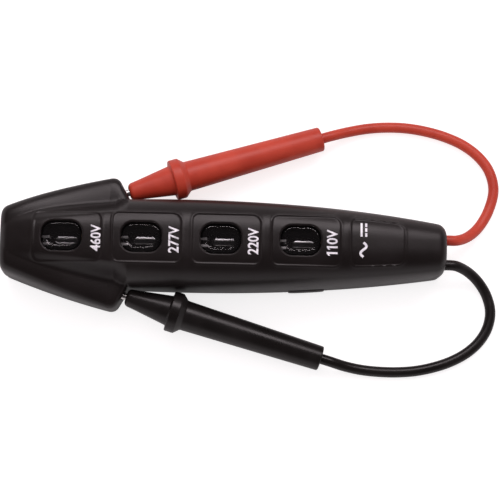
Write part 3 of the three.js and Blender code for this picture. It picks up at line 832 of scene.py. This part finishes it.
def ribbon(points, width):
    """A flat band of an even width along a line of points."""
    points = np.asarray(points, float)
    tangents = np.gradient(points, axis=0)
    tangents /= np.linalg.norm(tangents, axis=1)[:, None]
    normals = np.column_stack([-tangents[:, 1], tangents[:, 0]]) * width / 2
    return points + normals, points - normals


def make_supply_marks():
    """The signs for alternating and direct current."""
    bands = []
    wave = np.linspace(0, 1, 25)
    bands.append(ribbon(np.column_stack([-5 + 4.2 * wave, 0.85 * np.sin(2 * math.pi * wave)]), 0.72))
    bands.append(ribbon([(0.9, 0.6), (5, 0.6)], 0.62))
    for i in range(3):
        start = 0.9 + i * 1.5
        bands.append(ribbon([(start, -0.75), (start + 1.1, -0.75)], 0.62))
    vertices, faces = [], []
    for left, right in bands:
        for a, b in zip(left, right):
            vertices += [(*a, 0), (*b, 0)]
        first = len(vertices) - 2 * len(left)
        for k in range(first, len(vertices) - 2, 2):
            faces.append((k, k + 1, k + 3, k + 2))
    flat = bpy.data.meshes.new("marks")
    flat.from_pydata(vertices, [], faces)
    return lay_on_panel("supply_marks", flat, LAST_PANEL["x"] - LAST_PANEL["length"] / 2 + 3.6, 0.6)


# ---- fasteners and solder ----
def make_screw(name, node, down):
    """A pan head with a cross recess on a plain shank."""
    low, high = box_mm(node)
    x = middle_x(node)
    head = (high[0] - low[0]) / 2
    shank, tall = (1.2, 1.6) if down else (1.1, 1.3)
    length = high[2] - low[2]
    profile = [
        (0, 0), (head, 0), (head, tall), (shank, tall),
        (shank, length - 0.6), (0.3, length), (0, length),
    ]
    profile = filleted(profile, [0.75, 0.15, 0.1, 0, 0], 6)
    origin, axis = ((x, 0, low[2]), (0, 0, 1)) if down else ((x, 0, high[2]), (0, 0, -1))
    screw = lathe(name, profile, origin, axis, 48)
    top = origin[2]
    sign = 1 if down else -1
    cutters = []
    for a, b in ((0.7 * head, 0.17 * head), (0.17 * head, 0.7 * head)):
        z0, z1 = top - sign * 1, top + sign * 0.55 * tall
        rings = [
            [(x + sx * a * k, sy * b * k, z) for sx, sy in ((-1, -1), (1, -1), (1, 1), (-1, 1))]
            for z, k in ((z0, 1), (z1, 0.75))
        ]
        cutters.append(loft("cross", rings))
    apply_booleans(screw, cutters)
    tidy_mesh(screw, 34, outward=False)
    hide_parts(node)
    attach(screw, "case")
    return screw


def node_socket(tree, name, kind, value=None, output=False):
    socket = tree.interface.new_socket(name=name, in_out="OUTPUT" if output else "INPUT", socket_type=kind)
    if value is not None:
        socket.default_value = value
    return socket


def solder_tree():
    """Geometry nodes: a small cone of solder on every point, turned to hang under the board."""
    tree = bpy.data.node_groups.new("solder_joints", "GeometryNodeTree")
    node_socket(tree, "Points", "NodeSocketGeometry")
    node_socket(tree, "Radius", "NodeSocketFloat", 0.0009)
    node_socket(tree, "Depth", "NodeSocketFloat", 0.0008)
    node_socket(tree, "Material", "NodeSocketMaterial")
    node_socket(tree, "Joints", "NodeSocketGeometry", output=True)
    nodes, links = tree.nodes, tree.links
    given, result = nodes.new("NodeGroupInput"), nodes.new("NodeGroupOutput")
    cone = nodes.new("GeometryNodeMeshCone")
    cone.inputs["Vertices"].default_value = 16
    cone.inputs["Side Segments"].default_value = 3
    narrow = nodes.new("ShaderNodeMath")
    narrow.operation = "MULTIPLY"
    narrow.inputs[1].default_value = 0.4
    links.new(given.outputs["Radius"], narrow.inputs[0])
    links.new(narrow.outputs[0], cone.inputs["Radius Bottom"])
    links.new(given.outputs["Radius"], cone.inputs["Radius Top"])
    links.new(given.outputs["Depth"], cone.inputs["Depth"])
    spread = nodes.new("GeometryNodeInstanceOnPoints")
    links.new(given.outputs["Points"], spread.inputs["Points"])
    links.new(cone.outputs["Mesh"], spread.inputs["Instance"])
    real = nodes.new("GeometryNodeRealizeInstances")
    paint = nodes.new("GeometryNodeSetMaterial")
    links.new(spread.outputs["Instances"], real.inputs["Geometry"])
    links.new(real.outputs["Geometry"], paint.inputs["Geometry"])
    links.new(given.outputs["Material"], paint.inputs["Material"])
    links.new(paint.outputs["Geometry"], result.inputs["Joints"])
    return tree


RESISTOR_WIRE = 0.35
JOINT_DROP = 0.75  # how far the joints hang under the board


def make_solder(material):
    low, _ = box_mm("circuit_board")
    points = []
    for i in (1, 2, 3, 4):
        for letter in "ab":
            a, b = box_mm(f"electrode_{i}_{letter}")
            points.append((a[0] + WIRE_RADIUS, (a[1] + b[1]) / 2))
    for i in range(1, 6):
        a, b = box_mm(f"resistor_{i}")
        middle = (a[0] + b[0]) / 2
        points += [(middle, a[1] + RESISTOR_WIRE), (middle, b[1] - RESISTOR_WIRE)]
    mesh = bpy.data.meshes.new("points")
    mesh.from_pydata([(x * MM, y * MM, (low[2] - JOINT_DROP) * MM) for x, y in points], [], [])
    solder = linked("solder_joints", mesh)
    modifier = solder.modifiers.new("joints", "NODES")
    tree = solder_tree()
    modifier.node_group = tree
    names = {item.name: item.identifier for item in tree.interface.items_tree}
    modifier[names["Radius"]] = 0.0009
    modifier[names["Depth"]] = 0.0007
    modifier[names["Material"]] = material
    bake_modifiers(solder)
    tidy_mesh(solder, 60)
    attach(solder, "case")
    return solder


# ---- materials ----
def shader_group(name, inputs, outputs):
    tree = bpy.data.node_groups.new(name, "ShaderNodeTree")
    for label, value in inputs:
        node_socket(tree, label, "NodeSocketFloat", value)
    for label, kind in outputs:
        node_socket(tree, label, kind, output=True)
    return tree, tree.nodes.new("NodeGroupInput"), tree.nodes.new("NodeGroupOutput")


def noise(tree, coordinates, scale, detail):
    node = tree.nodes.new("ShaderNodeTexNoise")
    node.inputs["Detail"].default_value = detail
    tree.links.new(coordinates, node.inputs["Vector"])
    tree.links.new(scale, node.inputs["Scale"])
    return node.outputs["Fac"]


def math_node(tree, operation, *values):
    node = tree.nodes.new("ShaderNodeMath")
    node.operation = operation
    for socket, value in zip(node.inputs, values):
        if isinstance(value, (int, float)):
            socket.default_value = value
        else:
            tree.links.new(value, socket)
    return node.outputs[0]


def remap(tree, value, low, high, to_low=0.0, to_high=1.0):
    node = tree.nodes.new("ShaderNodeMapRange")
    node.interpolation_type = "SMOOTHSTEP"
    for label, number in (("From Min", low), ("From Max", high), ("To Min", to_low), ("To Max", to_high)):
        node.inputs[label].default_value = number
    tree.links.new(value, node.inputs["Value"])
    return node.outputs["Result"]


def moulded_grain():
    """Fine moulded texture: a height for bump, and a slow patchiness for tone and gloss."""
    inputs = (("Grain Scale", 3500.0), ("Patch Scale", 90.0))
    outputs = (("Height", "NodeSocketFloat"), ("Patches", "NodeSocketFloat"))
    tree, given, result = shader_group("moulded_grain", inputs, outputs)
    where = tree.nodes.new("ShaderNodeTexCoord").outputs["Object"]
    fine = noise(tree, where, given.outputs["Grain Scale"], detail=3)
    patch = noise(tree, where, given.outputs["Patch Scale"], detail=4)
    tree.links.new(fine, result.inputs["Height"])
    tree.links.new(remap(tree, patch, 0.35, 0.65), result.inputs["Patches"])
    return tree


def handling_wear():
    """Where hands have been: hairline scratches, and rubbed edges."""
    inputs = (("Scratch Scale", 400.0), ("Edge Start", 0.53), ("Edge End", 0.62))
    outputs = (("Scratches", "NodeSocketFloat"), ("Edges", "NodeSocketFloat"))
    tree, given, result = shader_group("handling_wear", inputs, outputs)
    where = tree.nodes.new("ShaderNodeTexCoord").outputs["Object"]
    stretch = tree.nodes.new("ShaderNodeMapping")
    stretch.inputs["Rotation"].default_value = (0, 0, 0.5)
    stretch.inputs["Scale"].default_value = (0.12, 2.2, 1)
    tree.links.new(where, stretch.inputs["Vector"])
    lines = noise(tree, stretch.outputs["Vector"], given.outputs["Scratch Scale"], detail=5)
    tree.links.new(remap(tree, lines, 0.66, 0.72), result.inputs["Scratches"])
    edge = tree.nodes.new("ShaderNodeMapRange")
    tree.links.new(tree.nodes.new("ShaderNodeNewGeometry").outputs["Pointiness"], edge.inputs["Value"])
    tree.links.new(given.outputs["Edge Start"], edge.inputs["From Min"])
    tree.links.new(given.outputs["Edge End"], edge.inputs["From Max"])
    tree.links.new(edge.outputs["Result"], result.inputs["Edges"])
    return tree


GRAIN = moulded_grain()
WEAR = handling_wear()


def bare_tree(owner):
    """The emptied node tree of a material or a world."""
    owner.use_nodes = True
    owner.node_tree.nodes.clear()
    return owner.node_tree


def new_material(name, color, roughness, metallic=0.0):
    material = bpy.data.materials.new(name)
    material.use_nodes = True
    tree = material.node_tree
    shader = tree.nodes["Principled BSDF"]
    shader.inputs["Base Color"].default_value = (*color, 1)
    shader.inputs["Roughness"].default_value = roughness
    shader.inputs["Metallic"].default_value = metallic
    return material, tree, shader


def place_group(tree, group, **values):
    node = tree.nodes.new("ShaderNodeGroup")
    node.node_tree = group
    for label, value in values.items():
        node.inputs[label.replace("_", " ")].default_value = value
    return node.outputs


def mixed(tree, factor, a, b):
    """A colour between a and b; each is a colour or a socket."""
    node = tree.nodes.new("ShaderNodeMix")
    node.data_type = "RGBA"
    tree.links.new(factor, node.inputs["Factor"])
    for socket, value in ((node.inputs[6], a), (node.inputs[7], b)):
        if isinstance(value, tuple):
            socket.default_value = (*value, 1)
        else:
            tree.links.new(value, socket)
    return node.outputs[2]


def add_bump(tree, shader, height, distance, strength=1.0):
    bump = tree.nodes.new("ShaderNodeBump")
    bump.inputs["Distance"].default_value = distance
    bump.inputs["Strength"].default_value = strength
    tree.links.new(height, bump.inputs["Height"])
    tree.links.new(bump.outputs["Normal"], shader.inputs["Normal"])


def case_material():
    """Satin black moulding, a little paler on rubbed edges."""
    material, tree, shader = new_material("case_black", (0.011, 0.0088, 0.0088), 0.45)
    grain = place_group(tree, GRAIN, Grain_Scale=3200, Patch_Scale=70)
    wear = place_group(tree, WEAR, Scratch_Scale=500)
    base = mixed(tree, grain["Patches"], (0.0090, 0.0068, 0.0066), (0.0118, 0.0090, 0.0090))
    edges = math_node(tree, "MULTIPLY", wear["Edges"], 0.35)
    tree.links.new(mixed(tree, edges, base, (0.030, 0.026, 0.027)), shader.inputs["Base Color"])
    shader.inputs["Specular IOR Level"].default_value = 0.36
    gloss = math_node(tree, "MULTIPLY_ADD", grain["Patches"], 0.05, 0.33)
    rough = math_node(tree, "MULTIPLY_ADD", wear["Scratches"], 0.08, gloss)
    tree.links.new(rough, shader.inputs["Roughness"])
    add_bump(tree, shader, grain["Height"], 0.00003, 0.5)
    return material


def vinyl_material(name, dark, light, roughness):
    """Soft moulded vinyl with a faint bloom."""
    material, tree, shader = new_material(name, light, roughness)
    grain = place_group(tree, GRAIN, Grain_Scale=2200, Patch_Scale=120)
    wear = place_group(tree, WEAR, Scratch_Scale=350, Edge_Start=0.54, Edge_End=0.66)
    tree.links.new(mixed(tree, grain["Patches"], dark, light), shader.inputs["Base Color"])
    shader.inputs["Specular IOR Level"].default_value = 0.36
    gloss = math_node(tree, "MULTIPLY_ADD", grain["Patches"], 0.06, roughness)
    rough = math_node(tree, "MULTIPLY_ADD", wear["Scratches"], 0.1, gloss)
    tree.links.new(rough, shader.inputs["Roughness"])
    add_bump(tree, shader, grain["Height"], 0.00002, 0.4)
    return material


def metal_material(name, color, roughness):
    """Plated metal with fine rubbing and slightly uneven tone."""
    material, tree, shader = new_material(name, color, roughness, 1.0)
    grain = place_group(tree, GRAIN, Grain_Scale=1800, Patch_Scale=300)
    wear = place_group(tree, WEAR, Scratch_Scale=900)
    dull = tuple(0.8 * c for c in color)
    tree.links.new(mixed(tree, grain["Patches"], dull, color), shader.inputs["Base Color"])
    rough = math_node(tree, "MULTIPLY_ADD", wear["Scratches"], 0.2, roughness)
    tree.links.new(rough, shader.inputs["Roughness"])
    add_bump(tree, shader, grain["Height"], 0.00001, 0.3)
    return material


def clear_material(name, tint, haze, index):
    """Clear plastic or glass with a faint haze; its surface reflection grows at a glancing angle."""
    material = bpy.data.materials.new(name)
    tree = bare_tree(material)
    grain = place_group(tree, GRAIN, Grain_Scale=900, Patch_Scale=260)
    wear = place_group(tree, WEAR, Scratch_Scale=700)
    through = tree.nodes.new("ShaderNodeBsdfTransparent")
    dimmer = tuple(0.93 * c for c in tint)
    tree.links.new(mixed(tree, grain["Patches"], dimmer, tint), through.inputs["Color"])
    surface = tree.nodes.new("ShaderNodeBsdfGlossy")
    milk = tree.nodes.new("ShaderNodeBsdfDiffuse")
    milk.inputs["Color"].default_value = (0.5, 0.47, 0.48, 1)
    body = tree.nodes.new("ShaderNodeMixShader")
    body.inputs["Fac"].default_value = haze
    tree.links.new(through.outputs[0], body.inputs[1])
    tree.links.new(milk.outputs[0], body.inputs[2])
    rough = math_node(tree, "MULTIPLY_ADD", wear["Scratches"], 0.1, 0.05)
    tree.links.new(rough, surface.inputs["Roughness"])
    fresnel = tree.nodes.new("ShaderNodeFresnel")
    fresnel.inputs["IOR"].default_value = index
    both = tree.nodes.new("ShaderNodeMixShader")
    output = tree.nodes.new("ShaderNodeOutputMaterial")
    tree.links.new(fresnel.outputs[0], both.inputs["Fac"])
    tree.links.new(body.outputs[0], both.inputs[1])
    tree.links.new(surface.outputs[0], both.inputs[2])
    tree.links.new(both.outputs[0], output.inputs["Surface"])
    material.surface_render_method = "BLENDED"
    return material


def board_material_painted_shade():
    """Brown laminate with paler weave, its colours set far darker than the board's own as painted shade
    for the inside of the closed case.
    """
    # painted shade: these very dark browns stand in for the shade that falls on the board inside the case
    material, tree, shader = new_material("laminate", (0.014, 0.011, 0.008), 0.55)
    grain = place_group(tree, GRAIN, Grain_Scale=2500, Patch_Scale=250)
    color = mixed(tree, grain["Patches"], (0.010, 0.008, 0.006), (0.018, 0.014, 0.010))
    tree.links.new(color, shader.inputs["Base Color"])
    add_bump(tree, shader, grain["Height"], 0.00003, 0.5)
    return material


# where each colour band lies along the body, and its colour
RESISTOR_BANDS = (
    (-1.9, (0.30, 0.02, 0.02)), (-0.9, (0.02, 0.02, 0.02)),
    (0.0, (0.35, 0.20, 0.01)), (1.6, (0.45, 0.30, 0.08)),
)
BAND_HALF = 0.28
RESISTOR_HALF = 3.3  # beyond this the node is bare wire


def resistor_material():
    """Lacquered body with colour bands, on tinned wire."""
    material, tree, shader = new_material("resistor_lacquer", (0.55, 0.40, 0.24), 0.35)
    grain = place_group(tree, GRAIN, Grain_Scale=1500, Patch_Scale=400)
    apart = tree.nodes.new("ShaderNodeSeparateXYZ")
    tree.links.new(tree.nodes.new("ShaderNodeTexCoord").outputs["Object"], apart.inputs["Vector"])
    color = mixed(tree, grain["Patches"], (0.48, 0.34, 0.20), (0.60, 0.45, 0.28))
    for centre, band in RESISTOR_BANDS:
        offset = math_node(tree, "ABSOLUTE", math_node(tree, "SUBTRACT", apart.outputs["Y"], centre * MM))
        color = mixed(tree, math_node(tree, "LESS_THAN", offset, BAND_HALF * MM), color, band)
    away = math_node(tree, "ABSOLUTE", apart.outputs["Y"])
    wire = math_node(tree, "GREATER_THAN", away, RESISTOR_HALF * MM)
    color = mixed(tree, wire, color, (0.65, 0.64, 0.62))
    tree.links.new(color, shader.inputs["Base Color"])
    tree.links.new(wire, shader.inputs["Metallic"])
    return material


def ink_material():
    """White printed ink, worn a little thin in places."""
    material, tree, shader = new_material("white_ink", (0.80, 0.80, 0.84), 0.5)
    grain = place_group(tree, GRAIN, Grain_Scale=1800, Patch_Scale=700)
    color = mixed(tree, grain["Patches"], (0.66, 0.66, 0.71), (0.86, 0.86, 0.90))
    tree.links.new(color, shader.inputs["Base Color"])
    return material


def paint(obj, material):
    obj.data.materials.clear()
    obj.data.materials.append(material)


# ---- room ----
ROOM_TINT = (1.0, 0.90, 0.93)


def add_floor():
    bpy.ops.mesh.primitive_plane_add(size=8, location=(0, 0, -0.00005))
    floor = bpy.context.object
    floor.name = "floor"
    material = bpy.data.materials.new("floor")
    tree = bare_tree(material)
    diffuse = tree.nodes.new("ShaderNodeBsdfDiffuse")
    diffuse.inputs["Color"].default_value = (0.5, 0.5, 0.5, 1)
    glow = tree.nodes.new("ShaderNodeEmission")
    mirrored = tree.nodes.new("ShaderNodeLightPath").outputs["Is Glossy Ray"]
    tree.links.new(math_node(tree, "MULTIPLY_ADD", mirrored, -0.58, 0.74), glow.inputs["Strength"])
    both = tree.nodes.new("ShaderNodeAddShader")
    output = tree.nodes.new("ShaderNodeOutputMaterial")
    tree.links.new(diffuse.outputs[0], both.inputs[0])
    tree.links.new(glow.outputs[0], both.inputs[1])
    tree.links.new(both.outputs[0], output.inputs["Surface"])
    paint(floor, material)


def add_light(name, position, target, size, power, in_gloss=True):
    data = bpy.data.lights.new(name, "AREA")
    data.shape = "RECTANGLE"
    data.size, data.size_y = size
    data.energy = power
    data.color = ROOM_TINT
    light = linked(name, data)
    light.location = position
    light.visible_glossy = in_gloss
    light.rotation_euler = (Vector(target) - Vector(position)).to_track_quat("-Z", "Y").to_euler()


def add_world():
    """White to the camera; to gloss, a room that is bright at the horizon and dim overhead."""
    world = bpy.data.worlds.new("studio")
    bpy.context.scene.world = world
    tree = bare_tree(world)
    path = tree.nodes.new("ShaderNodeLightPath")
    apart = tree.nodes.new("ShaderNodeSeparateXYZ")
    tree.links.new(tree.nodes.new("ShaderNodeTexCoord").outputs["Generated"], apart.inputs["Vector"])
    height = remap(tree, apart.outputs["Z"], 0.02, 0.6, 0.9, 0.035)
    across = remap(tree, apart.outputs["X"], -0.8, 0.8, 1, 0.45)
    room = math_node(tree, "MULTIPLY", height, across)
    gloss = math_node(tree, "MULTIPLY", path.outputs["Is Glossy Ray"], room)
    rest = math_node(tree, "SUBTRACT", 1.0, path.outputs["Is Glossy Ray"])
    plain = math_node(tree, "MULTIPLY", rest, 0.5)
    soft = math_node(tree, "ADD", gloss, plain)
    seen = math_node(tree, "MAXIMUM", path.outputs["Is Camera Ray"], soft)
    background = tree.nodes.new("ShaderNodeBackground")
    output = tree.nodes.new("ShaderNodeOutputWorld")
    color = mixed(tree, path.outputs["Is Camera Ray"], ROOM_TINT, (1, 1, 1))
    tree.links.new(color, background.inputs["Color"])
    tree.links.new(seen, background.inputs["Strength"])
    tree.links.new(background.outputs[0], output.inputs["Surface"])


def assemble():
    case = case_material()
    dim_black, pale_black = (0.0075, 0.0063, 0.0060), (0.0105, 0.0088, 0.0086)
    vinyl = {
        "red": vinyl_material("red_vinyl_soft", (0.44, 0.041, 0.021), (0.51, 0.053, 0.027), 0.38),
        "black": vinyl_material("black_vinyl_soft", dim_black, pale_black, 0.27),
    }
    lens = clear_material("window_plastic", (0.93, 0.93, 0.94), 0.006, 1.5)
    glass = clear_material("lamp_glass_clear", (0.97, 0.97, 0.96), 0.002, 2.4)
    nickel = metal_material("bright_nickel", (0.88, 0.87, 0.85), 0.3)
    # painted sheen: the electrodes' near-white, barely metallic colour is a pale metal's tone raised to
    # stand in for bright glints of the wire in the shaded lamp well
    wire = metal_material("electrode_painted_sheen", (0.97, 0.95, 0.92), 0.45)
    wire.node_tree.nodes["Principled BSDF"].inputs["Metallic"].default_value = 0.15
    steel = metal_material("plated_steel", (0.52, 0.52, 0.53), 0.3)
    brass = metal_material("crimp_brass_satin", (0.72, 0.55, 0.28), 0.3)
    ink = ink_material()
    paint(make_front_shell(), case)
    paint(make_rear_shell(), case)
    for i in (1, 2, 3, 4):
        paint(make_lens(i), lens)
        paint(make_lamp(i), glass)
        for letter in "ab":
            paint(make_electrode(i, letter), wire)
        paint(make_legend(i), ink)
    paint(make_supply_marks(), ink)
    for i in (1, 2):
        paint(make_screw(f"case_screw_head_{i}", f"case_screw_{i}", True), steel)
        paint(make_screw(f"board_screw_head_{i}", f"board_screw_{i}", False), steel)
    make_solder(metal_material("solder_tin", (0.62, 0.62, 0.63), 0.35))
    for name, lead in leads.items():
        paint(lead, vinyl[name])
        paint(make_handle(name), vinyl[name])
        paint(make_tip(name), nickel)
        for node in ("inner_lead", "handle_lead"):
            paint(frame["nodes"][f"{name}_{node}"], vinyl[name])
        for node in ("lead_stop", "probe_crimp"):
            paint(frame["nodes"][f"{name}_{node}"], brass)
    paint(frame["nodes"]["circuit_board"], board_material_painted_shade())
    lacquer = resistor_material()
    for i in range(1, 6):
        paint(frame["nodes"][f"resistor_{i}"], lacquer)


assemble()
add_floor()
add_world()
add_light("key", (0.12, 0.54, 0.77), (0, 0, 0.01), (0.9, 0.36), 4.9)
add_light("overhead", (-0.25, 0.1, 1.0), (0, 0, 0.01), (0.7, 0.7), 2.5, False)
bpy.context.scene.view_settings.view_transform = "Standard"
